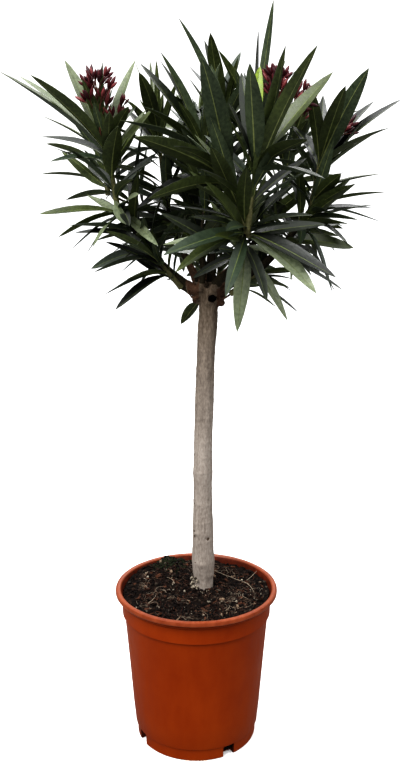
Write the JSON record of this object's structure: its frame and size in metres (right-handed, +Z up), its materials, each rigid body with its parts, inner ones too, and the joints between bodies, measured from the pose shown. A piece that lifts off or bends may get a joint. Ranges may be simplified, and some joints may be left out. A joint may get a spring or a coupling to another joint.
{
  "type": "potted oleander",
  "caption": "Oleander trained as a standard: a bare trunk that forks into boughs with whorls of long narrow leaves, in a tapered plastic nursery pot.",
  "frame": {"origin": "middle of the pot's flat underside", "axes": "+Z up the trunk, -Y towards the side the plant is seen from, +X to the right of that view"},
  "size_m": [0.4775, 0.4698, 0.9656],
  "materials": {
    "pot": "satin moulded polypropylene, terracotta coloured",
    "soil": "moist fibrous compost",
    "bark": "smooth grey-beige bark with fine streaks",
    "leaf": "leathery, dull gloss, paler beneath",
    "bud": "waxy crimson flower buds",
    "litter": "dry straws, roots and bark chips"
  },
  "bodies": {
    "root": {"pot": "pot", "soil": "soil", "trunk": "bark", "bough_left": "bark", "bough_right": "bark", "bough_front": "bark", "bough_centre": "bark", "bough_back_left": "bark", "bough_back": "bark", "bough_far_left": "bark", "bough_back_right": "bark", "bough_high_right": "bark", "bough_mid_left": "bark", "bough_low_left": "bark", "bough_low_right": "bark", "bough_low_back": "bark", "foliage_left": "leaf", "foliage_right": "leaf", "foliage_front_right": "leaf", "foliage_front_left": "leaf", "foliage_front_skirt": "leaf", "foliage_centre": "leaf", "foliage_high_right": "leaf", "foliage_left_skirt": "leaf", "foliage_right_skirt": "leaf", "foliage_mid_left": "leaf", "foliage_low_left": "leaf", "foliage_low_right": "leaf", "foliage_back_left": "leaf", "foliage_back_right": "leaf", "foliage_back": "leaf", "foliage_far_left": "leaf", "foliage_inner_left": "leaf", "foliage_inner_right": "leaf", "foliage_inner_centre": "leaf", "foliage_back_skirt": "leaf", "foliage_low_back": "leaf"}
  },
  "joints": []
}
